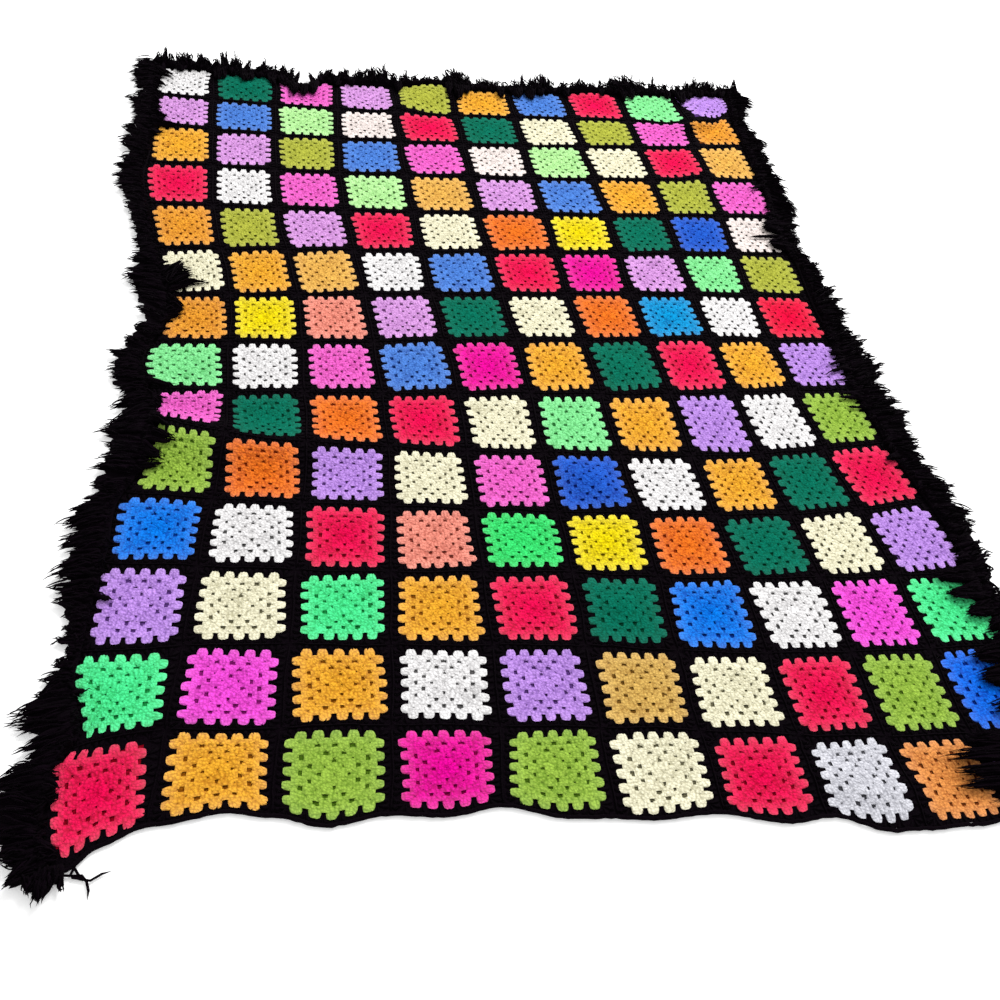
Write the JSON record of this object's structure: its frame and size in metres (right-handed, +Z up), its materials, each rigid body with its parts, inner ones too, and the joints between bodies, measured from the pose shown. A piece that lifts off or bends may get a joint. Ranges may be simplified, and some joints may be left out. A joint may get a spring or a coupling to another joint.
{
  "type": "granny square blanket",
  "caption": "Crocheted blanket of joined granny squares in bright yarns with black borders, laid out flat, with a shaggy black yarn fringe along its sides and far edge.",
  "frame": {"origin": "on the cloth's flat underside, at the middle of its squares", "axes": "+X to the right across the cloth, +Y along its length to the far, fringed end, +Z up out of its face"},
  "size_m": [1.3097, 1.7747, 0.044],
  "materials": {
    "crochet": "matt crocheted acrylic yarn, squares in many bright colours joined in black",
    "fringe_yarn": "matt black acrylic yarn, cut and combed out"
  },
  "bodies": {
    "root": {"blanket": "crochet", "fringe_left": "fringe_yarn", "fringe_right": "fringe_yarn", "fringe_far": "fringe_yarn"}
  },
  "joints": []
}
